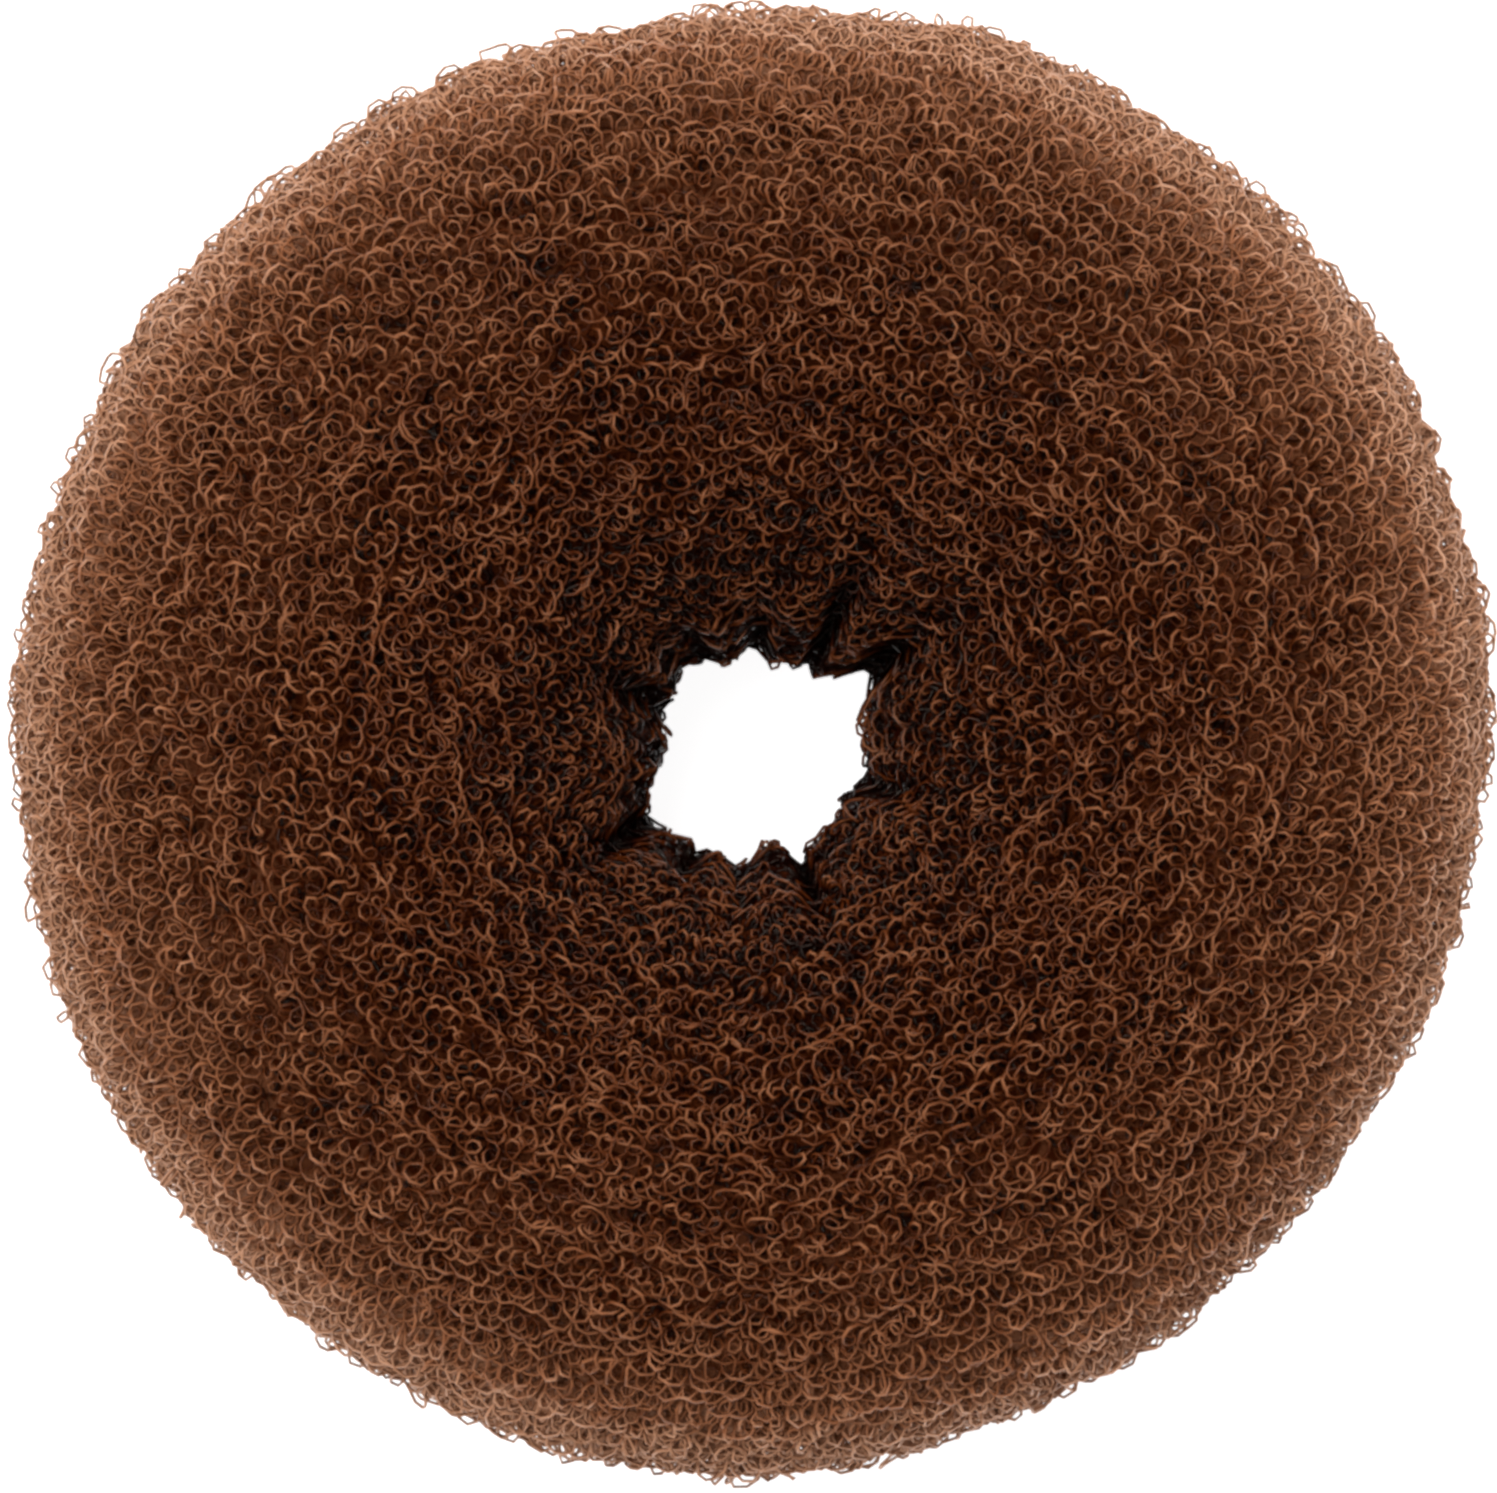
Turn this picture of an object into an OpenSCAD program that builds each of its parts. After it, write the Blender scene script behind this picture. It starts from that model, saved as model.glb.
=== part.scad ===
// Hair donut: one knitted nylon sleeve, rolled up on itself into a springy
// padded ring and gathered into folds where it closes round the hole.
// It lies flat on its underside. Millimetres, +Z up, and the origin is on the
// table under the middle of the ring.

/* [Ring] */
// Mean outside diameter of the ring
ring_d = 85; // [70:1:110]
// Height of the ring as it lies flat
ring_h = 32; // [27:1:40]
// Fullness of the ring's section, where 2 is an oval and more is boxier
fullness = 2.3; // [2.1:0.1:2.8]
// Share of its half height that the ring's underside is pressed flat by
foot_press = 0.08; // [0.08:0.01:0.12]

/* [Hole] */
// Mean diameter of the hole between its gathers
hole_d = 11.5; // [9:0.5:20]
// How far the hole lies to the right of the ring's middle
hole_x = 0.3; // [-1.5:0.1:1.5]
// How far the hole lies behind the ring's middle
hole_y = -1; // [-1.5:0.1:1.5]
// How far the hole is drawn out of round, as a share of its radius
hole_skew = 0.08; // [0:0.01:0.1]

/* [Rolled sleeve] */
// Thickness of the knitted sleeve's springy wall
sleeve_wall = 4.2; // [3.4:0.1:5.5]
// Open space between one turn of the roll and the next
turn_gap = 0.5; // [0.4:0.1:0.8]
// Thickness of the sleeve's free edge
edge_wall = 1.6; // [1.2:0.1:2.4]
// Length of sleeve over which the free edge thickens, in degrees of the section
edge_taper = 45; // [25:5:90]

/* [Gathers] */
// Depth of the deepest gather
gather_depth = 3; // [1:0.1:3.6]
// Half width of the widest gather, in degrees round the hole
gather_half_w = 15; // [9:1:18]
// How far the longest gather runs up the section from the hole, in degrees
gather_reach = 74; // [45:1:80]
// Share of its depth that a gather keeps where it is pinched shut at the hole
gather_pinch = 0.3; // [0.2:0.05:1]
// Height of the soft bulges over the top of the ring
bulge_h = 0.35; // [0:0.05:0.5]

/* [Hidden] */

// Steps of the section's outline in one turn of the roll, and the widest step
// round the ring, in degrees
turn_steps = 16;
ring_step = 10;
// Steps over which the roll dives under its own free edge, and steps that its
// inner end stops short of a whole turn by
dive_steps = 2;
end_steps = 2;
// Place of the free edge round the section, where 180 faces the hole and 270 is
// down: a whole number of steps from both, so that the section has corners there
edge_at = 225;
// Smallest half height of the open core that the roll leaves in its middle
core_min = 1.6;

// Lobes that leave the ring's outside out of round: how many, their height as a
// share of the ring's radius, and the angle of the first one
LOBES = [
    [2, 0.0093, 32],
    [3, 0.0068, 29],
    [5, 0.0025, -2]
];

// Lobes that the hole is drawn out to: how many, their height as a share of the
// highest, and the angle of the first one
HOLE_LOBES = [
    [2, 0.80, 33],
    [3, 0.55,  7],
    [4, 0.95, 32]
];

// Share of its reach in which a gather comes to its full depth
gather_full = 1 / 3;

// Gathers round the hole: place and lean in degrees, where the lean is how far
// the gather turns as it runs out to the rim, then depth, half width and reach
// as shares of the deepest, the widest and the longest
GATHERS = [
    [ 37,   2, 0.95, 0.75, 0.78],
    [ 60,  14, 1.00, 0.60, 1.00],
    [ 88,   4, 0.60, 0.60, 0.62],
    [118,  -4, 0.35, 0.60, 0.60],
    [152,   6, 0.70, 1.00, 0.80],
    [211,   5, 0.85, 0.75, 0.85],
    [238,   2, 0.60, 0.60, 0.60],
    [292, -10, 0.90, 0.60, 0.80],
    [346,   4, 0.55, 0.80, 0.65]
];

// Soft bulges on the top of the ring: how many go round, the angle of the
// first one, and their height as a share of the highest
BULGES = [
    [4,  20, 1.00],
    [7, -12, 0.60]
];

step = 360 / turn_steps;
dive_from = 360 - dive_steps * step;
ring_r = ring_d / 2;
half_h = ring_h / (2 - foot_press);
hole_r = hole_d / 2;
middle_r = (ring_r + hole_r) / 2;
// Least half width of the section on its outer side, and on its hole's side
outer_half = ring_r * (1 - sum([for (l = LOBES) l[1]])) - middle_r;
inner_half = middle_r - hole_r * (1 + hole_skew * sum([for (l = HOLE_LOBES) l[1]]));
thinnest = min(half_h, outer_half, inner_half);
pitch = sleeve_wall + turn_gap;
turns = floor((thinnest + turn_gap - core_min) / pitch);
steps = turns * turn_steps - end_steps;

function smooth(t) = let (u = min(1, max(0, t))) u * u * (3 - 2 * u);

function sum(list, i = 0) = i < len(list) ? list[i] + sum(list, i + 1) : 0;

// Shortest way round from one angle to another, from 0 to 180
function apart(a, b) = let (d = abs(a - b) % 360) min(d, 360 - d);

// Superellipse form of a sine or cosine
function boxier(t) = sign(t) * pow(abs(t), 2 / fullness);

// Height of some lobes together, at an angle round the ring
function waves(lobes, ring_at) = sum([for (l = lobes) l[1] * cos(l[0] * (ring_at - l[2]))]);

// Ring's outside radius and the hole's radius, at an angle round the ring
function outside(ring_at) = ring_r * (1 + waves(LOBES, ring_at));

function inside(ring_at) = hole_r * (1 + hole_skew * waves(HOLE_LOBES, ring_at));

// How far the gathers and the bulges take the surface in, at an angle round the
// ring and an angle round the section
function sunk(ring_at, section_at) =
    let (
        from_hole = apart(section_at, 180),
        folds = [for (g = GATHERS)
            let (run = from_hole / (g[4] * gather_reach))
            g[2] * gather_depth
            * smooth(1 - apart(ring_at, g[0]) / (g[3] * gather_half_w))
            * (gather_pinch + (1 - gather_pinch) * smooth(run / gather_full))
            * smooth(1 - run)],
        bulges = [for (b = BULGES)
            b[2] * bulge_h * (1 - cos(b[0] * (ring_at - b[1]))) / 2]
    )
    max(folds) + sum(bulges) * smooth(sin(section_at));

// How deep the roll lies below the ring's surface, at a distance along the
// sleeve in degrees: level for most of each turn, then a dive to the next one
function laid(along) =
    let (turn = floor(along / 360), rest = along - 360 * turn)
    pitch * (turn + smooth((rest - dive_from) / (360 - dive_from)));

function outer_face(along) =
    laid(along) + (sleeve_wall - edge_wall) * (1 - smooth(along / edge_taper));

function inner_face(along) = laid(along) + sleeve_wall;

// A point of the section as radius and height, at an angle round the ring, from
// its place along the sleeve and its depth below the ring's surface
function section_point(ring_at, along, depth) =
    let (
        section_at = edge_at + along,
        across = boxier(cos(section_at)),
        up = boxier(sin(section_at)),
        half_w = across > 0 ? outside(ring_at) - middle_r : middle_r - inside(ring_at),
        // The gathers fade out towards the middle of the roll
        deeper = depth + sunk(ring_at, section_at) * (1 - depth / thinnest)
    )
    [
        middle_r + (half_w - deeper) * across,
        max(depth, half_h * (1 - foot_press) + (half_h - deeper) * up)
    ];

// Places a section point round the ring, with the hole off the ring's middle
// and the gathers leaning
function placed(ring_at, lean, p) =
    let (
        out = smooth((p[0] - hole_r) / (ring_r - hole_r)),
        at = ring_at + lean * out
    )
    [
        p[0] * cos(at) + hole_x * (1 - out),
        p[0] * sin(at) + hole_y * (1 - out),
        p[1]
    ];

// Sections round the ring, each as its angle and its lean: one at each gather,
// and even steps from gather to gather
SECTIONS = [
    for (i = [0 : len(GATHERS) - 1])
        let (
            from = GATHERS[i],
            to = GATHERS[(i + 1) % len(GATHERS)],
            gap = (to[0] - from[0] + 360) % 360,
            count = ceil(gap / ring_step)
        )
        for (k = [0 : count - 1])
            [from[0] + gap * k / count, from[1] + (to[1] - from[1]) * k / count]
];

// Section's outline: in along the sleeve's outer face, back along its inner one
function outline(ring_at) = concat(
    [for (k = [0 : steps]) section_point(ring_at, k * step, outer_face(k * step))],
    [for (k = [steps : -1 : 0]) section_point(ring_at, k * step, inner_face(k * step))]
);

module rolled_sleeve() {
    around = len(SECTIONS);
    length = 2 * (steps + 1);
    points = [for (s = SECTIONS) for (p = outline(s[0])) placed(s[0], s[1], p)];
    function at(i, k) = (i % around) * length + k % length;
    // Both faces of the sleeve are split along the same diagonal, so that facing
    // turns lie parallel
    faces = [
        for (i = [0 : around - 1])
            for (k = [0 : length - 1])
                for (corners = k < steps
                    ? [[[0, 0], [1, 1], [1, 0]], [[0, 0], [0, 1], [1, 1]]]
                    : [[[0, 0], [0, 1], [1, 0]], [[0, 1], [1, 1], [1, 0]]])
                    [for (c = corners) at(i + c[0], k + c[1])]
    ];
    color("#5b3522") polyhedron(points, faces);
}

rolled_sleeve();
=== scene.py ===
# Hair donut: a ring rolled up from a knitted nylon sleeve, seen from straight above on a light table
import bpy
import math
import time
import numpy as np
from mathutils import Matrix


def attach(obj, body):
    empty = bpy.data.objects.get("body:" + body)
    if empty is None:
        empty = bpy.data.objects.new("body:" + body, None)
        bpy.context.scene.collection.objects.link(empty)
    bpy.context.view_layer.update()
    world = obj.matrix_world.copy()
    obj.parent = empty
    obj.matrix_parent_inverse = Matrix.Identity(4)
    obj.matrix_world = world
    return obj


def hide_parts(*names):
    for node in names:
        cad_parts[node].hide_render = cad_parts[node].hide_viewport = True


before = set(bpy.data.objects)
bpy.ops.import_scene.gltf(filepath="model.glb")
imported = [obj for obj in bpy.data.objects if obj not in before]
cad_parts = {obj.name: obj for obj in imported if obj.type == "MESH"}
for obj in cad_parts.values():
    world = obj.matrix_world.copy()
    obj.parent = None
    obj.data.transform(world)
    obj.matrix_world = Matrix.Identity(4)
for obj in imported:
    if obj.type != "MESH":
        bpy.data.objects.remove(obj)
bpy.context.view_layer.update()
started = time.time()
mm = 0.001


def report(words):
    print(f"{time.time() - started:6.1f} s  {words}")


# Form of the rolled sleeve in mm and degrees: the solid's own, with narrower gathers and finer folds
sleeve = {
    "outsideR": 42.5, "holeR": 5.75, "height": 32.0, "footPress": 0.08, "fullness": 2.3,
    "holeX": 0.3, "holeY": -1.0, "holeSkew": 0.08,
    "wall": 4.2, "turnGap": 0.5, "edgeWall": 1.6, "edgeTaper": 45.0, "edgeAt": 225.0, "diveFrom": 315.0,
    # lobes of the outside: how many, height as a share of the radius, angle of the first
    "lobes": [(2, 0.0093, 32), (3, 0.0068, 29), (5, 0.0025, -2)],
    "holeLobes": [(2, 0.80, 33), (3, 0.55, 7), (4, 0.95, 32)],
    # small folds that only the mesh has, their height as a share of the hole's radius
    "holeFolds": [(6, 0.025, 26), (7, 0.025, 43), (8, 0.04, 36), (11, 0.035, 32), (17, 0.012, 9)],
    "gatherDepth": 3.0, "gatherHalfW": 15.0, "gatherReach": 74.0, "gatherPinch": 0.2, "gatherFull": 1 / 3,
    # the gathers' walls are steeper than the solid's, and a little of their floor is level
    "gatherSteep": 1.5, "gatherFloor": 1.15,
    # gathers: place and lean, then depth, half width and reach as shares of those above
    "gathers": [
        (37, 2, 0.95, 0.75, 0.78), (60, 14, 1.00, 0.60, 1.00), (88, 4, 0.60, 0.60, 0.62),
        (118, -4, 0.35, 0.60, 0.60), (152, 6, 0.70, 1.00, 0.80), (211, 5, 0.85, 0.75, 0.85),
        (238, 2, 0.60, 0.60, 0.60), (292, -10, 0.90, 0.60, 0.80), (346, 4, 0.55, 0.80, 0.65),
    ],
    # bulges over the top: how many, angle of the first, height as a share of the highest
    "bulge": 0.35, "bulges": [(4, 20, 1.00), (7, -12, 0.60)],
    # soft unevenness of the mesh, as pairs of crossing waves
    "crinkles": [(0.16, (9, 3, 1.0), (-4, 5, 0.0)), (0.112, (17, -6, 2.1), (5, 11, 0.4))],
    "footClear": 0.14,  # least height of anything over the table
}
middleR = (sleeve["outsideR"] + sleeve["holeR"]) / 2
halfH = sleeve["height"] / (2 - sleeve["footPress"])
middleH = halfH * (1 - sleeve["footPress"])
gatherAngles = [gather[0] for gather in sleeve["gathers"]]
gatherLeans = [gather[1] for gather in sleeve["gathers"]]


def smooth(t):
    u = np.clip(t, 0, 1)
    return u * u * (3 - 2 * u)


def fade(value, start, end):
    # 0 at start, 1 at end, with soft ends
    return smooth((value - start) / (end - start))


def tabled(value, table):
    # read off a table of pairs
    return np.interp(value, *zip(*table))


def apart(a, b):
    d = np.abs(a - b) % 360
    return np.minimum(d, 360 - d)


def boxier(t):
    return np.sign(t) * np.abs(t) ** (2 / sleeve["fullness"])


def wavesOf(lobes, ringAt):
    return sum(h * np.cos(np.radians(n * (ringAt - first))) for n, h, first in lobes)


def crossingWaves(pairs, ringAt, along):
    # each pair has its height, and each wave its counts round the ring and the section and its start
    a, b = np.radians(ringAt), np.radians(along)

    def wave(roundRing, roundSection, start):
        return np.sin(roundRing * a + roundSection * b + start)

    return sum(h * wave(*first) * wave(*second) for h, first, second in pairs)


def outsideAt(ringAt):
    return sleeve["outsideR"] * (1 + wavesOf(sleeve["lobes"], ringAt))


def insideAt(ringAt):
    skew = sleeve["holeSkew"] * wavesOf(sleeve["holeLobes"], ringAt)
    return sleeve["holeR"] * (1 + skew + wavesOf(sleeve["holeFolds"], ringAt))


def foldAt(ringAt, sectionAt, pinch=sleeve["gatherPinch"]):
    # depth of the gathers alone
    fromHole = apart(sectionAt, 180)
    deepest = np.zeros(np.broadcast(ringAt, sectionAt).shape)
    for place, lean, depth, halfW, reach in sleeve["gathers"]:
        run = fromHole / (reach * sleeve["gatherReach"])
        shut = pinch + (1 - pinch) * smooth(run / sleeve["gatherFull"])
        aside = apart(ringAt, place) / (halfW * sleeve["gatherHalfW"])
        across = smooth(sleeve["gatherFloor"] - sleeve["gatherSteep"] * aside)
        deepest = np.maximum(deepest, depth * sleeve["gatherDepth"] * across * shut * smooth(1 - run))
    return deepest


def bulgeAt(ringAt, sectionAt):
    waves = sum(h * (1 - np.cos(np.radians(n * (ringAt - first)))) / 2 for n, first, h in sleeve["bulges"])
    return sleeve["bulge"] * waves * smooth(np.sin(np.radians(sectionAt)))


def laidAt(along):
    # how deep the roll lies: level for most of a turn, then a dive to the next one
    turn = np.floor(along / 360)
    return (sleeve["wall"] + sleeve["turnGap"]) * (turn + fade(along - 360 * turn, sleeve["diveFrom"], 360))


def outerFaceAt(along):
    along = np.maximum(along, 0)
    return laidAt(along) + (sleeve["wall"] - sleeve["edgeWall"]) * (1 - smooth(along / sleeve["edgeTaper"]))


def innerFaceAt(along):
    return laidAt(np.maximum(along, 0)) + sleeve["wall"]


def outwardAt(r):
    # 0 at the hole, 1 at the rim
    return fade(r, sleeve["holeR"], sleeve["outsideR"])


def leanAt(ringAt):
    return np.interp(ringAt % 360, gatherAngles, gatherLeans, period=360)


def skin(ringAt, along, depth):
    # a point at a depth below the ring's surface
    sectionAt = sleeve["edgeAt"] + along
    across = boxier(np.cos(np.radians(sectionAt)))
    up = boxier(np.sin(np.radians(sectionAt)))
    halfW = np.where(across > 0, outsideAt(ringAt) - middleR, middleR - insideAt(ringAt))
    crinkle = crossingWaves(sleeve["crinkles"], ringAt, along)
    sunk = foldAt(ringAt, sectionAt) + bulgeAt(ringAt, sectionAt) + crinkle
    deeper = depth + sunk * (1 - np.clip(depth, 0, None) / halfH)
    r = middleR + (halfW - deeper) * across
    z = np.maximum(middleH + (halfH - deeper) * up, np.maximum(depth, sleeve["footClear"]))
    out = outwardAt(r)
    at = np.radians(ringAt + leanAt(ringAt) * out)
    x = r * np.cos(at) + sleeve["holeX"] * (1 - out)
    y = r * np.sin(at) + sleeve["holeY"] * (1 - out)
    return np.stack([x, y, z], axis=-1)


# Way along the sleeve in mm, measured on a plain section of the ring, with a little to spare at both ends
wayTable = {"from": -8.0, "to": 400.0, "steps": 4081}
wayDegrees = np.linspace(wayTable["from"], wayTable["to"], wayTable["steps"])
waySection = boxier(np.cos(np.radians(sleeve["edgeAt"] + wayDegrees)))
wayUp = boxier(np.sin(np.radians(sleeve["edgeAt"] + wayDegrees)))
wayDepth = outerFaceAt(wayDegrees)
wayRadius = middleR + (middleR - sleeve["holeR"] - wayDepth) * waySection
wayHeight = np.maximum(middleH + (halfH - wayDepth) * wayUp, wayDepth)
wayLength = np.concatenate([[0], np.cumsum(np.hypot(np.diff(wayRadius), np.diff(wayHeight)))])
wayLength -= np.interp(0, wayDegrees, wayLength)
wholeWay = float(np.interp(360, wayDegrees, wayLength))


def degreesAt(way):
    return np.interp(way, wayLength, wayDegrees)


def radiusAt(way):
    return np.interp(way, wayLength, wayRadius)


def heightAt(way):
    return np.interp(way, wayLength, wayHeight)


def unleaned(at, way, passes=8):
    # place round the ring of an angle seen from above
    ringAt = at
    for _ in range(passes):
        ringAt = at - leanAt(ringAt) * outwardAt(radiusAt(way))
    return ringAt


def onSleeve(at, way, below):
    # a point at a depth below the sleeve's own outer face
    along = degreesAt(way)
    return skin(unleaned(at, way), along, outerFaceAt(along) + below)


report(f"sleeve is {wholeWay:.0f} mm round its section")


# Shader maths

class Wire:
    # a socket of a material, so that shader maths reads as sums
    def __init__(self, finish, socket):
        self.finish, self.socket = finish, socket

    def maths(self, operation, *values):
        return self.finish.node("ShaderNodeMath", {"operation": operation}, dict(enumerate(values)))

    def __add__(self, other):
        return self.maths("ADD", self, other)

    def __sub__(self, other):
        return self.maths("SUBTRACT", self, other)

    def __rsub__(self, other):
        return self.maths("SUBTRACT", other, self)

    def __mul__(self, other):
        return self.maths("MULTIPLY", self, other)

    __radd__, __rmul__ = __add__, __mul__


class Finish:
    # a material, and the ways that its nodes are made
    def __init__(self, name):
        self.material = bpy.data.materials.new(name)
        self.material.use_nodes = True
        self.tree = self.material.node_tree
        self.shader = self.tree.nodes["Principled BSDF"]

    def node(self, kind, settings=None, values=None, output=0):
        made = self.tree.nodes.new(kind)
        for key, value in (settings or {}).items():
            if key == "stops":
                ramp = made.color_ramp
                while len(ramp.elements) < len(value):
                    ramp.elements.new(0.5)
                for element, (place, colour) in zip(ramp.elements, value):
                    element.position, element.color = place, (*colour, 1)
            else:
                setattr(made, key, value)
        for key, value in (values or {}).items():
            self.feed(made.inputs[key], value)
        return Wire(self, made.outputs[output])

    def feed(self, socket, value):
        if isinstance(value, Wire):
            self.tree.links.new(value.socket, socket)
        elif isinstance(value, tuple) and len(socket.default_value) == 4:
            socket.default_value = (*value, 1)
        else:
            socket.default_value = value

    def between(self, value, low, high):
        # 0 at low, 1 at high, with soft ends
        return self.node("ShaderNodeMapRange", {"interpolation_type": "SMOOTHSTEP", "clamp": True},
                         {"Value": value, "From Min": low, "From Max": high})

    def blend(self, factor, first, second):
        # inputs 6 and 7 and output 2 are the node's colours
        return self.node("ShaderNodeMix", {"data_type": "RGBA"}, {0: factor, 6: first, 7: second}, output=2)

    def ramp(self, factor, stops):
        return self.node("ShaderNodeValToRGB", {"stops": stops}, {0: factor})

    def attribute(self, name):
        return self.node("ShaderNodeAttribute", {"attribute_name": name}, output="Fac")

    def place(self):
        return self.node("ShaderNodeTexCoord", output="Object")

    def noise(self, where, scale, output=0):
        return self.node("ShaderNodeTexNoise", None, {"Vector": where, "Scale": scale, "Detail": 1.0}, output)

    def set(self, **sockets):
        for key, value in sockets.items():
            self.feed(self.shader.inputs[key.replace("_", " ")], value)
        return self.material


# Tone of the nylon, with painted light and shade: low in the depth of a gather as painted shade, 1 and more
# at the thin rim as painted light that comes through
tone = {
    "top": 0.775, "foldShade": 1.05,  # over the top, and how much painted shade darkens the depth of a gather
    "hole": 0.05, "holeAt": (19.0, 7.0),  # how much painted shade darkens it at the hole, and mm from the axis
    "low": 0.65, "lowAt": (15.5, 1.5),  # share of the rim's painted light that is lost low down, and mm of height
    # mm from the axis, and how much painted shade darkens filament where it dips in, between these depths in
    # mm
    "dipShade": [(8, 2.60), (12, 1.90), (17, 0.92), (33, 0.72), (40, 0.20)], "dipAt": (0.1, 1.2),
    # mm from the axis, and how much painted light makes it lighter there; below 0 it is painted shade
    "rim": [(14, -0.11), (17, -0.13), (20, -0.11), (25, -0.05), (31.5, 0.02), (34.3, 0.06), (37.2, 0.12),
            (38.6, 0.22), (40, 0.43), (41.5, 0.69), (42.5, 0.82)],
    # soft patches, as pairs of crossing waves
    "patches": [(0.020, (5, 2, 0.0), (-2, 3, 1.0)), (0.012, (11, -3, 2.0), (0, 7, 0.0))],
}


def toneAndShadingAt(ringAt, way, places):
    # places are in mm
    fromAxis = np.hypot(places[:, 0], places[:, 1])
    # painted light at the rim, less of it low down, and painted shade at the hole and in the gathers; the
    # soft patches differ at random
    rim = tabled(fromAxis, tone["rim"])
    rim -= np.clip(rim, 0, None) * tone["low"] * fade(places[:, 2], *tone["lowAt"])
    hole = tone["hole"] * fade(fromAxis, *tone["holeAt"])
    gathered = foldAt(ringAt, sleeve["edgeAt"] + degreesAt(way), 1) / sleeve["gatherDepth"]
    foldShade = tone["foldShade"] * np.clip(gathered, 0, 1)
    return tone["top"] + rim - hole - foldShade + crossingWaves(tone["patches"], ringAt, degreesAt(way))


def dipShadeAt(way, depth):
    # painted shade: filament is darker where it dips in among the rest, most of all near the hole
    return tabled(radiusAt(way), tone["dipShade"]) * fade(depth, *tone["dipAt"])


# How every loop of filament is drawn
looping = {
    "segments": 7,
    "oval": (0.75, 1.15),
    "tilt": 26, "tiltMost": 1.6,  # degrees that loops tip by at random, and the most as a multiple of that
    # share of the sleeve's slope that loops lean by, and degrees round the section where they begin and end
    "lean": 0.7, "leanFrom": (-5, 15), "leanTo": (172, 152),
    # where the mesh is frayed, in mm from the axis, loops lie deeper and more unevenly, and some stand out
    "rimAt": (39.5, 41.5), "rimUneven": 2.8, "rimDeeper": 0.30, "rimFrayed": 0.36,
    "holeAt": (8.5, 6.5), "holeUneven": 2.2, "holeDeeper": 0.26, "holeFrayed": 0.50, "holeFrayedAt": (9, 7),
    # mm from the axis where loops are drawn out up and down, and by how much
    "drawnAt": (33, 38), "drawnOut": 0.35,
    "probeRing": 0.6, "probeWay": 0.3,  # degrees and mm to the points that show the sleeve's directions
}


def unit(vectors, least=1e-9):
    return vectors / (np.linalg.norm(vectors, axis=1, keepdims=True) + least)


def slopeAt(way):
    # on the sleeve's sloping sides the loops lean, so that they still show as rings from above
    sectionAt = (sleeve["edgeAt"] + degreesAt(way) + 180) % 360 - 180
    upperSide = fade(sectionAt, *looping["leanFrom"]) * fade(sectionAt, *looping["leanTo"])
    return looping["lean"] * (sectionAt - 90) * upperSide


def loopAxis(at, on, below, heading, roll, pitch):
    # what each loop turns about, from the sleeve's own directions there
    base = onSleeve(at, on, below)
    east = unit(onSleeve(at + looping["probeRing"], on, below) - base)
    north = onSleeve(at, on + looping["probeWay"], below) - base
    north = unit(north - east * (east * north).sum(1, keepdims=True))
    cosH, sinH = np.cos(heading)[:, None], np.sin(heading)[:, None]
    sideways, forward = north * cosH - east * sinH, east * cosH + north * sinH
    return unit(np.cross(east, north) - sideways * np.tan(roll)[:, None] - forward * np.tan(pitch)[:, None])


def coil(path, curl, rng, closed):
    # Loops of filament laid along a path over the sleeve. The path has five lists with a value for each
    # loop: degrees round the ring, mm along the sleeve, heading in radians, size and mm of depth.
    ringAt, way, heading, size, below = path
    count = len(ringAt) - 1
    t = np.arange(count * looping["segments"] + 1) / looping["segments"]
    loop = np.arange(count + 1)

    def eased(values):
        return np.interp(t, loop, values)

    def perLoop(values):
        if closed:
            values[-1] = values[0]
        return eased(values)

    radius = perLoop(rng.uniform(*curl["radius"], count + 1) * size)
    oval = perLoop(rng.uniform(*looping["oval"], count + 1))
    mostTilt = looping["tiltMost"] * looping["tilt"]
    tilts = np.clip(rng.normal(0, looping["tilt"], (2, count + 1)), -mostTilt, mostTilt)
    roll = np.radians(perLoop(tilts[0]) + eased(slopeAt(way) * np.cos(heading)))
    pitch = np.radians(perLoop(tilts[1]) + eased(slopeAt(way) * np.sin(heading)))
    aside = perLoop(rng.normal(0, curl["stray"], count + 1) * size)
    atRim, inHole = fade(radiusAt(way), *looping["rimAt"]), fade(radiusAt(way), *looping["holeAt"])
    uneven = 1 + looping["rimUneven"] * atRim + looping["holeUneven"] * inHole
    lower = looping["rimDeeper"] * atRim + looping["holeDeeper"] * inHole
    deeper = perLoop(rng.normal(0, curl["rise"], count + 1) * uneven + lower)
    slip = perLoop(rng.normal(0, curl["slip"], count + 1))
    turnWay = rng.choice([-1, 1])
    phase = 2 * np.pi * (t + slip) + rng.uniform(0, 2 * np.pi)
    if closed:
        phase[-1] = phase[0] + 2 * np.pi * count
    ringAt, way, heading, below = eased(ringAt), eased(way), eased(heading), eased(below)
    # each point's place forward, across and up from the path
    forth = radius * np.cos(phase)
    around = radius * oval * np.sin(phase) * turnWay
    upward = around * np.sin(roll) + forth * np.sin(pitch)
    forth *= np.cos(pitch)
    across = around * np.cos(roll) + aside
    r = radiusAt(way)
    overRing = np.degrees((forth * np.cos(heading) - across * np.sin(heading)) / r)
    overWay = forth * np.sin(heading) + across * np.cos(heading)
    overWay *= 1 + looping["drawnOut"] * fade(r, *looping["drawnAt"])
    at, on = ringAt + overRing, way + overWay
    frayed = looping["holeFrayed"] * fade(r, *looping["holeFrayedAt"])
    frayed += looping["rimFrayed"] * fade(r, *looping["rimAt"])
    depth = np.maximum(below + deeper - upward, curl["proud"] - frayed)
    points = onSleeve(at, on, depth)
    axis = loopAxis(at, on, below, heading, roll, pitch)
    if closed:
        points, axis, at, on, depth = points[:-1], axis[:-1], at[:-1], on[:-1], depth[:-1]
    return points, axis, at, on, depth


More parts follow.
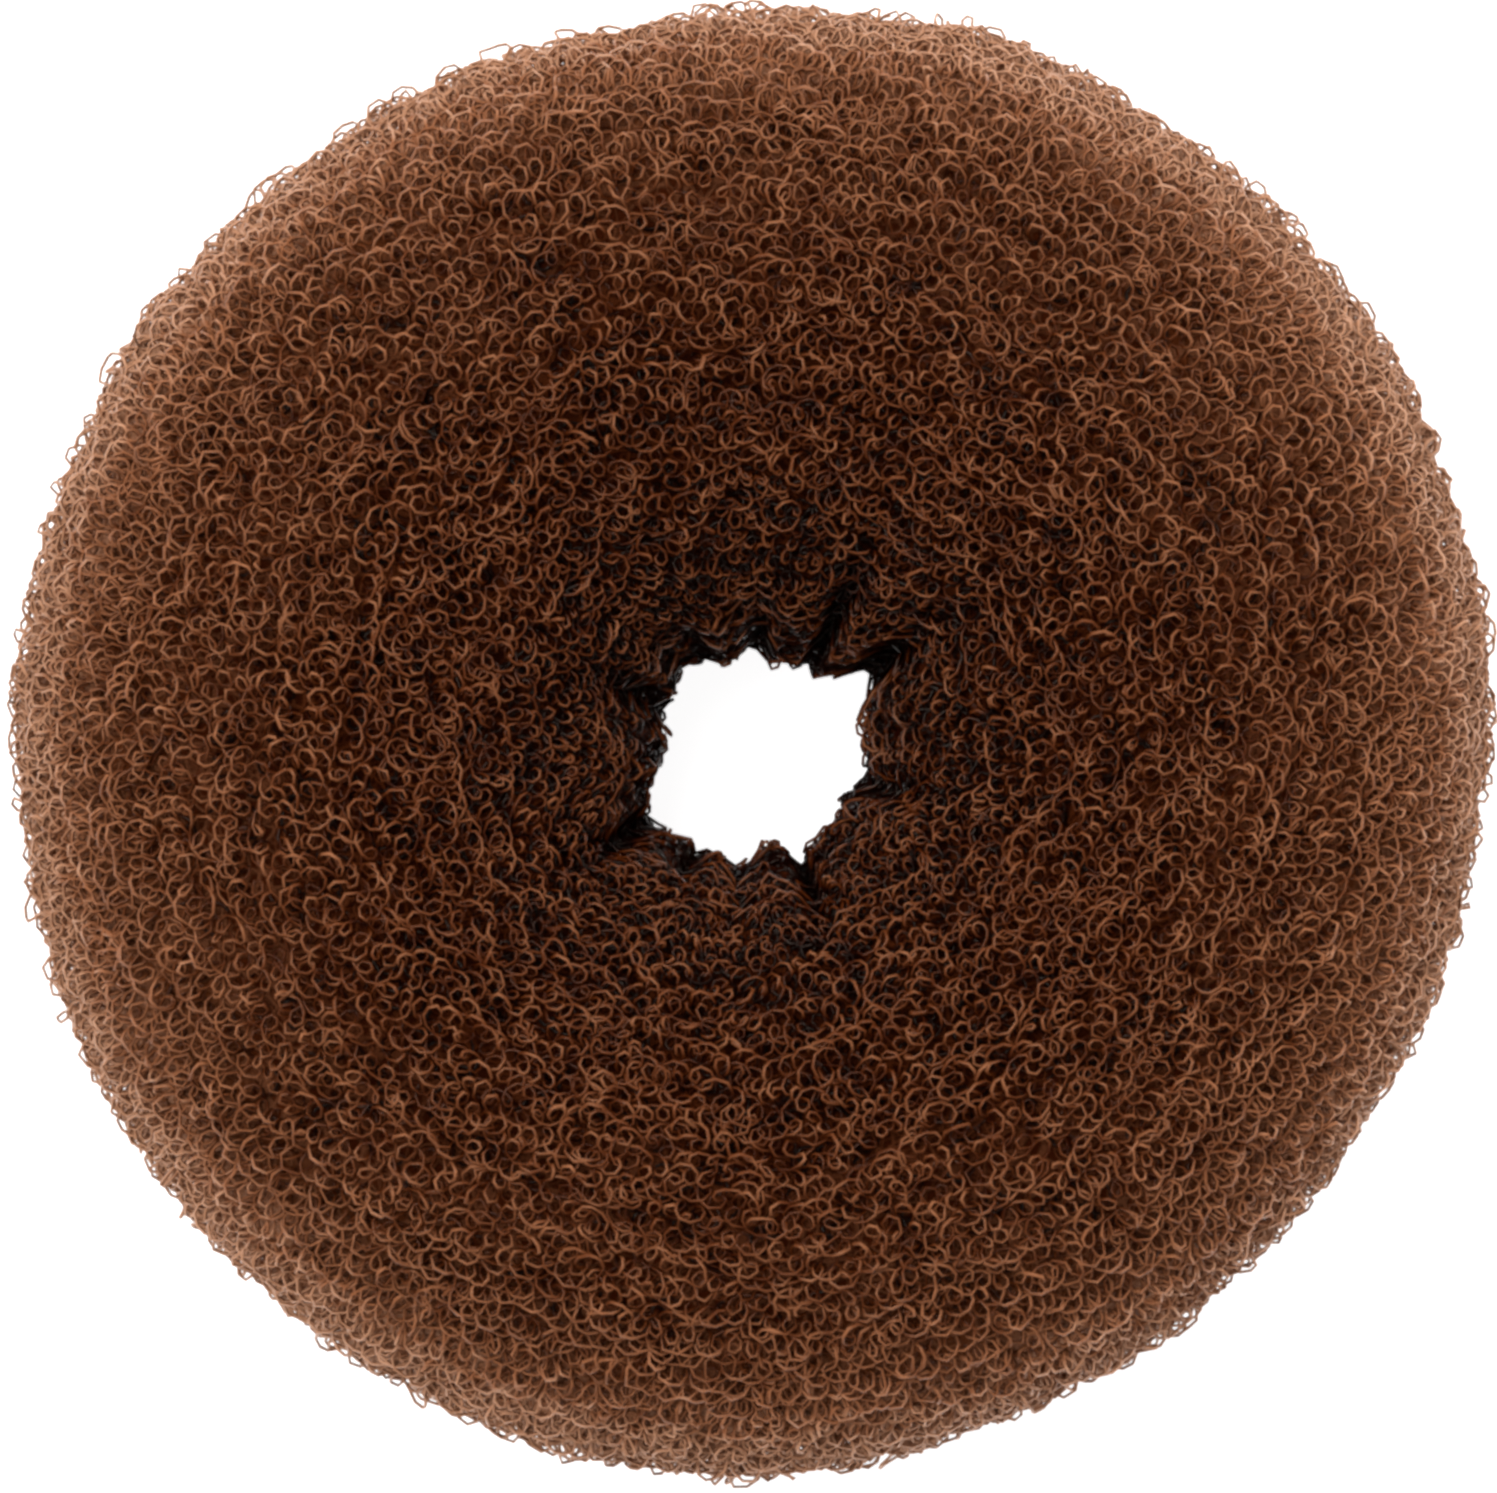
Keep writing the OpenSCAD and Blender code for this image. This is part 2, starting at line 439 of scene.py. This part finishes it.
def tube(points, axis, thickness, closed):
    # three-sided filament round the points; its flat lies away from the loop's axis
    if closed:
        ahead, behind = np.roll(points, -1, 0), np.roll(points, 1, 0)
    else:
        ahead, behind = np.vstack([points[1:], points[-1:]]), np.vstack([points[:1], points[:-1]])
    along = unit(ahead - behind)
    side = unit(np.cross(along, axis))
    up = np.cross(side, along)
    corners = [points + thickness * (math.cos(a) * side + math.sin(a) * up)
               for a in np.radians([90, 210, 330])]
    verts = np.stack(corners, 1).reshape(-1, 3)
    n = len(points)
    i = np.arange(n if closed else n - 1)
    j = (i + 1) % n
    quads = [np.stack([3 * i + right, 3 * j + right, 3 * j + left, 3 * i + left], 1)
             for left, right in [(0, 1), (1, 2), (2, 0)]]
    quads = np.stack(quads, 1).reshape(-1, 4)
    caps = np.zeros((0, 3), int) if closed else np.array([[0, 1, 2], [3 * n - 1, 3 * n - 2, 3 * n - 3]])
    return verts, quads, caps


class Bundle:
    # filament that becomes one piece
    def __init__(self):
        self.verts, self.quads, self.caps, self.tones, self.count = [], [], [], [], 0

    def add(self, points, axis, at, on, depth, thickness, closed, lift):
        verts, quads, caps = tube(points, axis, thickness, closed)
        self.verts.append(verts)
        self.quads.append(quads + self.count)
        self.caps.append(caps + self.count)
        # painted light and shade of the place, less the painted shade where the filament dips in, and a
        # random lift
        self.tones.append(np.repeat(toneAndShadingAt(unleaned(at, on), on, points) - dipShadeAt(on, depth) + lift, 3))
        self.count += len(verts)

    def triangles(self):
        return 2 * sum(len(quads) for quads in self.quads) + sum(len(caps) for caps in self.caps)


def makeMesh(name, verts, faces, tones, material):
    mesh = bpy.data.meshes.new(name)
    mesh.from_pydata((verts * mm).tolist(), [], faces)
    mesh.attributes.new("tone", "FLOAT", "POINT").data.foreach_set("value", tones.astype(np.float32))
    mesh.materials.append(material)
    mesh.shade_smooth()
    mesh.update()
    piece = bpy.data.objects.new(name, mesh)
    bpy.context.scene.collection.objects.link(piece)
    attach(piece, "root")
    return piece


def bakeMap(mesh, places):
    # the map that the baked colours go on
    mesh.uv_layers.new(name="OFBake").data.foreach_set("uv", places.astype(np.float32).ravel())


def cellMap(mesh, reach=0.38):
    # each face of the filament has a small square of its own, which reaches this share of its cell each way
    count = len(mesh.polygons)
    side = math.ceil(math.sqrt(count))
    totals = np.zeros(count, np.int32)
    mesh.polygons.foreach_get("loop_total", totals)
    face = np.repeat(np.arange(count), totals)
    corner = np.arange(len(face)) - np.repeat(np.cumsum(totals) - totals, totals)
    spot = np.stack([(face % side + 0.5) / side, (face // side + 0.5) / side], 1)
    square = np.array([[-1, -1], [1, -1], [1, 1], [-1, 1]])[corner] * reach / side
    bakeMap(mesh, spot + square)


filamentFinish = {
    # scale and strength of patches, partly random mottle and partly painted highlight and shade along the
    # loops, and the share of the ramp that a tone of 1 comes to
    "mottleAndHighlights": 850.0, "mottleAndHighlightsStrength": 0.95, "range": 0.8,
    "roughness": 0.28, "specular": 0.19, "tint": (1.0, 0.88, 0.74),
    "colours": [
        (0.00, (0.006, 0.0006, 0.0001)),
        (0.16, (0.040, 0.0060, 0.0006)),
        (0.34, (0.080, 0.0170, 0.0030)),
        (0.50, (0.142, 0.0400, 0.0125)),
        (0.66, (0.216, 0.0775, 0.0315)),
        (0.80, (0.304, 0.1120, 0.0465)),
        (1.00, (0.480, 0.2350, 0.1300)),
    ],
}


def nylonFilament():
    finish = Finish("nylon filament")
    # patches that are partly random mottle and partly painted highlight and shade, over the tone's painted
    # light and shade
    mottleAndHighlights = (finish.noise(finish.place(), filamentFinish["mottleAndHighlights"]) - 0.5) * filamentFinish["mottleAndHighlightsStrength"]
    depth = (finish.attribute("tone") + mottleAndHighlights) * filamentFinish["range"]
    return finish.set(
        Base_Color=finish.ramp(depth, filamentFinish["colours"]), Roughness=filamentFinish["roughness"],
        Specular_IOR_Level=filamentFinish["specular"], Specular_Tint=filamentFinish["tint"])


filamentMaterial = nylonFilament()


# Size of the loops: small and tight where the sleeve is drawn in, wide at the rim
loopSizes = {
    "drawnIn": [(6, 0.66), (12, 0.80), (24, 0.92), (36, 0.96), (42.5, 0.94)],  # mm from the axis, and size
    # mm from the axis, and mm of height below which the loops are looser, the most at the foot
    "looseBelow": [(10, 25), (34, 14)], "foot": 3, "loose": 0.5,
}


def sizeAt(way):
    low = tabled(radiusAt(way), loopSizes["looseBelow"])
    up = np.clip((heightAt(way) - loopSizes["foot"]) / (low - loopSizes["foot"]), 0, 1)
    return tabled(radiusAt(way), loopSizes["drawnIn"]) * (1 + loopSizes["loose"] - loopSizes["loose"] * up)


# Zones of the sleeve, each a piece of its own: mm of height, and mm from the axis
zones = {"underTo": 7, "sideTo": 17, "rimFrom": 36, "topFrom": 15, "gathersFrom": 9.5}


def zoneAt(way):
    r, z = radiusAt(way), heightAt(way)
    if z < zones["underTo"]:
        return "under"
    if r > zones["rimFrom"]:
        return "side" if z < zones["sideTo"] else "rim"
    return "top" if r > zones["topFrom"] else "gathers" if r > zones["gathersFrom"] else "hole"


class Cover:
    # how many loops cross each small cell of the sleeve, so that new ones go where it is still bare;
    # cell and spare are in mm
    def __init__(self, cell=0.5, columns=480, spare=8):
        self.cell, self.columns = cell, columns
        self.crossed = np.zeros((int((wholeWay + spare) / cell), columns))

    def cells(self, ringAt, way):
        row = np.clip((way / self.cell).astype(int), 0, len(self.crossed) - 1)
        return row, (ringAt % 360 / 360 * self.columns).astype(int) % self.columns

    def on(self, ringAt, way):
        return self.crossed[self.cells(ringAt, way)]

    def stamp(self, ringAt, way, reach, weight):
        for i, k, r, wide in zip(*self.cells(ringAt, way), radiusAt(way), reach):
            high = max(1, round(wide / self.cell))
            broad = max(1, round(wide / r * self.columns / (2 * math.pi)))
            span = np.arange(k - broad, k + broad + 1) % self.columns
            self.crossed[max(0, i - high):i + high + 1, span] += weight


bundles = {}
cover = Cover()


def lay(path, curl, rng, closed):
    ringAt, way, heading, size, below = path
    cover.stamp(ringAt, way, np.mean(curl["radius"]) * size, curl["weight"])
    points, axis, at, on, depth = coil(path, curl, rng, closed)
    name = f"{curl['name']}_{zoneAt(float(np.median(way)))}"
    bundle = bundles.setdefault(name, Bundle())
    bundle.add(points, axis, at, on, depth, curl["thickness"], closed, rng.normal(0, curl["shades"]))


# Rows of loops that run round the ring, as the knitting machine lays them. Lengths are in mm. Radius, gap,
# advance and stray are those of loops of size 1; stray, rise, slip and shades are random differences.
# Below is how deep a path lies, proud the least depth of its filament, and weight what it counts for in
# the cover. Thickness is from the filament's middle to its corners.
rows = {
    "name": "knit_rows", "seed": 11, "weight": 0.5,
    "radius": (0.55, 0.82), "gap": 0.98, "advance": 0.94,
    "underWider": 1.2,  # how much wider gap and advance are on the underside
    "stray": 0.35, "rise": 0.10, "slip": 0.09, "shades": 0.012,
    "below": 0.46, "proud": -0.10, "thickness": 0.114,
    "first": 0.3, "past": 3.0,  # mm from the free edge, and past a whole turn
    # the rows wave together: mm, waves round the ring, and radians that these turn by in each mm of sleeve
    "sways": [(1.5, 4, 0.06), (0.9, 9, -0.10), (0.4, 17, 0.16)],
    "swayFull": 8, "edgeClear": 0.2,  # mm from the free edge where they wave fully, and the least mm from it
}


def knitRows():
    rng = np.random.default_rng(rows["seed"])
    way, laid = rows["first"], 0
    while way < wholeWay + rows["past"]:
        size = float(sizeAt(way))
        wider = rows["underWider"] if heightAt(way) < zones["underTo"] else 1
        count = int(2 * np.pi * float(radiusAt(way)) / (rows["advance"] * size * wider))
        ringAt = 360 * np.arange(count + 1) / count + rng.uniform(0, 360)
        sway = sum(h * np.sin(n * np.radians(ringAt) + turn * way) for h, n, turn in rows["sways"])
        ways = np.maximum(way + sway * smooth(way / rows["swayFull"]), rows["edgeClear"])
        path = ringAt, ways, np.zeros(count + 1), sizeAt(ways), np.full(count + 1, rows["below"])
        lay(path, rows, rng, True)
        way += rows["gap"] * size * wider
        laid += 1
    report(f"{laid} knitted rows")


# Short wandering lengths that lie under and among the rows, where the sleeve would be bare
strays = {
    "name": "stray_loops", "seed": 29, "weight": 1.0,
    "radius": (0.56, 0.86), "advance": 1.15,
    "stray": 0.25, "rise": 0.12, "slip": 0.07, "shades": 0.015,
    "below": [(9, 0.60), (14, 0.85)],  # mm from the axis, and how deep
    "endsDown": 1.3, "endLoops": 1.5,  # mm that both ends are tucked in, and over how many loops
    "proud": -0.12, "thickness": 0.124,
    "loops": 3, "more": (-2, 4),
    # radians from the ring's own way, and how far a length strays from that at its start and at each loop
    "headings": [0, 0, np.pi / 2, -0.6, 0.6], "bent": 0.25, "bends": 0.16,
    # mm from the free edge and past a whole turn, first for a length's middle and then for its loops
    "first": 0.5, "past": 1.0, "edgeClear": 0.6, "furthest": 3.0,
    # lengths in each square mm at size 1, more or less by mm of height and by mm from the axis
    "perArea": 0.090, "byHeight": [(4, 0.40), (9, 1.0)], "byRadius": [(9, 1.5), (14, 1.0)],
    "tries": 10, "samples": 3000,  # places tried for each, and steps of the table that they are drawn from
}


def wander(rng, start, ringStart):
    # a path of loops that turns a little from each to the next
    size = float(sizeAt(start))
    loops = strays["loops"] + int(rng.integers(*strays["more"]))
    step = strays["advance"] * size
    heading = rng.choice(strays["headings"]) + rng.normal(0, strays["bent"])
    headings = heading + np.cumsum(rng.normal(0, strays["bends"], loops + 1))
    climbed = np.concatenate([[0], np.cumsum(np.sin(headings[:-1]) * step)])
    way = start + climbed - np.sin(heading) * step * loops / 2
    way = np.clip(way, strays["edgeClear"], wholeWay + strays["furthest"])
    turn = np.degrees(np.cos(headings) * step / radiusAt(way))
    ringAt = ringStart + np.concatenate([[0], np.cumsum(turn[:-1])])
    return ringAt, way, headings


def strayLengths():
    # each goes where the sleeve is barest among a few random places
    rng = np.random.default_rng(strays["seed"])
    ways = np.linspace(strays["first"], wholeWay + strays["past"], strays["samples"])
    wanted = tabled(heightAt(ways), strays["byHeight"]) * tabled(radiusAt(ways), strays["byRadius"])
    share = np.cumsum(radiusAt(ways) / sizeAt(ways) ** 2 * wanted)
    count = int(2 * np.pi * share[-1] * (ways[1] - ways[0]) * strays["perArea"])
    share /= share[-1]
    for _ in range(count):
        paths = [wander(rng, np.interp(rng.random(), share, ways), rng.uniform(0, 360))
                 for _ in range(strays["tries"])]
        crossed = [np.mean(cover.on(ringAt, way) / np.interp(way, ways, wanted)) for ringAt, way, _ in paths]
        ringAt, way, headings = paths[int(np.argmin(crossed))]
        loop = np.arange(len(way))
        fromEnd = np.minimum(loop, loop[::-1])
        tucked = strays["endsDown"] * (1 - smooth(fromEnd / strays["endLoops"]))
        below = tabled(radiusAt(way), strays["below"]) + tucked
        lay((ringAt, way, headings, sizeAt(way), below), strays, rng, False)
    report(f"{count} stray lengths")


# The layers of the roll below: a padded body, with dark painted shade between its own loops
body = {
    "around": 216, "along": 96, "flap": 10,  # points round the ring, along the sleeve and back under its edge
    "under": 28.0,  # degrees that the sleeve's next turn runs on under its free edge
    "inset": 2.0, "insetRim": 1.6, "insetHole": 0.7, "insetLow": 0.75, "insetEdge": 0.45, "insetFlap": 0.35,
    # the insets change between these cosines and sines of the angle round the section
    "rimAt": (0.3125, 0.9375), "holeAt": (-1 / 3, -8 / 9), "lowAt": (-0.3, -0.7),
}
bodyFinish = {
    "bendScale": 900.0, "bend": 0.0006,  # scale of the bends in its filament, and the most m that they go
    # the two nets' scale, the width of filament as a share of a loop, and how much each shows
    "upper": (900.0, 0.13), "upperShows": 0.85,
    "lower": (1250.0, 0.15), "lowerShows": 0.40,
    "softEdge": 0.3,  # share of the width that shows fully
    "roughness": 0.7, "specular": 0.05, "tint": (1.0, 0.60, 0.40), "bump": 0.7, "bumpHeight": 0.0004,
    # painted shade between the loops, by the tone, which is also painted light at the rim
    "between": [
        (0.00, (0.001, 0.0001, 0.0001)),
        (0.35, (0.009, 0.0009, 0.0001)),
        (0.68, (0.017, 0.0017, 0.0001)),
        (0.80, (0.050, 0.0080, 0.0010)),
        (0.90, (0.160, 0.0450, 0.0130)),
        (1.00, (0.400, 0.1600, 0.0720)),
    ],
    # the loops' colours, by the same tone of painted light and shade
    "loops": [
        (0.00, (0.003, 0.0003, 0.0001)),
        (0.35, (0.024, 0.0036, 0.0006)),
        (0.70, (0.072, 0.0150, 0.0032)),
        (0.88, (0.230, 0.0850, 0.0380)),
        (1.00, (0.480, 0.2400, 0.1400)),
    ],
}


def layersBelow():
    finish = Finish("rolled layers below")
    place = finish.place()
    shaken = finish.noise(place, bodyFinish["bendScale"], "Color")
    # inputs 4 and 5 and output 1 are the node's vectors
    bent = finish.node("ShaderNodeMix", {"data_type": "VECTOR"},
                       {0: bodyFinish["bend"], 4: place, 5: shaken}, output=1)

    def net(scale, width):
        edge = finish.node("ShaderNodeTexVoronoi", {"feature": "DISTANCE_TO_EDGE"},
                           {"Vector": bent, "Scale": scale})
        return 1 - finish.between(edge, width * bodyFinish["softEdge"], width)

    upper, lower = net(*bodyFinish["upper"]), net(*bodyFinish["lower"])
    loops = upper * bodyFinish["upperShows"] + (1 - upper) * lower * bodyFinish["lowerShows"]
    # painted shade between the loops, and the loops' colours, both by the tone's painted light and shade
    shadedGaps = finish.ramp(finish.attribute("tone"), bodyFinish["between"])
    lit = finish.ramp(finish.attribute("tone"), bodyFinish["loops"])
    bump = finish.node("ShaderNodeBump", None, {
        "Strength": bodyFinish["bump"], "Distance": bodyFinish["bumpHeight"], "Height": loops})
    return finish.set(
        Base_Color=finish.blend(loops, shadedGaps, lit), Roughness=bodyFinish["roughness"], Normal=bump,
        Specular_IOR_Level=bodyFinish["specular"], Specular_Tint=bodyFinish["tint"])


def insetAt(along):
    # how far the body lies below the sleeve's outer face, which leaves room for the loops over it
    sectionAt = np.radians(sleeve["edgeAt"] + along)
    inset = body["inset"] + (body["insetRim"] - body["inset"]) * fade(np.cos(sectionAt), *body["rimAt"])
    inset += (body["insetHole"] - inset) * fade(np.cos(sectionAt), *body["holeAt"])
    inset += (body["insetLow"] - inset) * fade(np.sin(sectionAt), *body["lowAt"])
    return body["insetEdge"] + (inset - body["insetEdge"]) * smooth(along / sleeve["edgeTaper"])


def paddedBody():
    outer = np.linspace(0, 360 + body["under"], body["along"])
    flap = np.linspace(body["under"], 0, body["flap"])
    along = np.concatenate([outer, flap])
    depth = np.concatenate([outerFaceAt(outer) + insetAt(outer), innerFaceAt(flap) - body["insetFlap"]])
    ringAt = np.linspace(0, 360, body["around"], endpoint=False)
    verts = skin(ringAt[:, None], along[None, :], depth[None, :]).reshape(-1, 3)
    across, length = len(ringAt), len(along)
    i, k = np.meshgrid(np.arange(across), np.arange(length), indexing="ij")
    corners = [(i, k), (i + 1, k), (i + 1, k + 1), (i, k + 1)]
    quads = np.stack([a % across * length + b % length for a, b in corners], -1).reshape(-1, 4)
    ways = np.interp(along, wayDegrees, wayLength)
    # the body's painted light and shade, from the same tone as the filament
    tones = toneAndShadingAt(np.repeat(ringAt, length), np.tile(ways, across), verts)
    piece = makeMesh("rolled_layers", verts, quads.tolist(), tones, layersBelow())
    bakeMap(piece.data, np.stack([np.stack([a / across, b / length], -1) for a, b in corners], -2))
    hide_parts("rolled_sleeve")
    report(f"padded body, {2 * len(quads)} triangles")


def filamentPieces():
    for name, bundle in sorted(bundles.items()):
        verts = np.concatenate(bundle.verts)
        faces = np.concatenate(bundle.quads).tolist() + np.concatenate(bundle.caps).tolist()
        piece = makeMesh(name, verts, faces, np.concatenate(bundle.tones), filamentMaterial)
        cellMap(piece.data)
        report(f"{name}, {bundle.triangles()} triangles")
    report(f"{sum(bundle.triangles() for bundle in bundles.values())} triangles of filament")


paddedBody()
knitRows()
strayLengths()
filamentPieces()


# Light table, soft light and camera; the table's size and how far it lies below the ring are in m
stage = {"size": 3.0, "colour": (0.86, 0.86, 0.86), "roughness": 0.8, "glow": 0.92, "down": 0.0002}
studio = {"colour": (0.80, 0.80, 0.82), "strength": 0.75}
lamps = [
    # name, place in m, size in m, watts
    ("soft box above", (-0.25, 0.20, 0.75), 0.55, 5.0),
    ("soft box behind", (0.35, 0.55, 0.45), 0.45, 2.5),
]
view = {
    # mm that the picture shows across at the equator's height, and where its middle is
    "across": 86.4, "equator": 16.0, "x": -0.2, "y": -0.45,
    "lens": 200.0, "sensor": 36.0,
    "soft": 3.3,  # pixels that the picture is softened over, as the photo is
    "bounces": 1,
}


def lightTable():
    w = stage["size"] / 2
    mesh = bpy.data.meshes.new("light_table")
    mesh.from_pydata([(-w, -w, 0), (w, -w, 0), (w, w, 0), (-w, w, 0)], [], [(0, 1, 2, 3)])
    table = bpy.data.objects.new("light_table", mesh)
    table.location.z = -stage["down"]
    bpy.context.scene.collection.objects.link(table)
    finish = Finish("light table")
    mesh.materials.append(finish.set(
        Base_Color=stage["colour"], Roughness=stage["roughness"],
        Emission_Color=(1.0, 1.0, 1.0), Emission_Strength=stage["glow"]))


def softLight():
    world = bpy.data.worlds.new("studio")
    bpy.context.scene.world = world
    world.use_nodes = True
    background = world.node_tree.nodes["Background"]
    background.inputs["Color"].default_value = (*studio["colour"], 1)
    background.inputs["Strength"].default_value = studio["strength"]
    for name, place, size, watts in lamps:
        lamp = bpy.data.lights.new(name, "AREA")
        lamp.shape, lamp.size, lamp.energy = "DISK", size, watts
        holder = bpy.data.objects.new(name, lamp)
        holder.location = place
        away = -np.array(place)
        holder.rotation_euler = (math.atan2(math.hypot(away[0], away[1]), -away[2]), 0,
                                 math.atan2(away[1], away[0]) - math.pi / 2)
        bpy.context.scene.collection.objects.link(holder)


def overhead():
    camera = bpy.data.cameras.new("overhead")
    camera.lens, camera.sensor_width = view["lens"], view["sensor"]
    holder = bpy.data.objects.new("overhead", camera)
    away = view["across"] * view["lens"] / view["sensor"]
    holder.location = (view["x"] * mm, view["y"] * mm, (view["equator"] + away) * mm)
    bpy.context.scene.collection.objects.link(holder)
    bpy.context.scene.camera = holder


lightTable()
softLight()
overhead()
bpy.context.scene.view_settings.view_transform = "Standard"
bpy.context.scene.cycles.diffuse_bounces = view["bounces"]
bpy.context.scene.cycles.glossy_bounces = view["bounces"]
bpy.context.scene.cycles.filter_width = view["soft"]
report("light and camera")
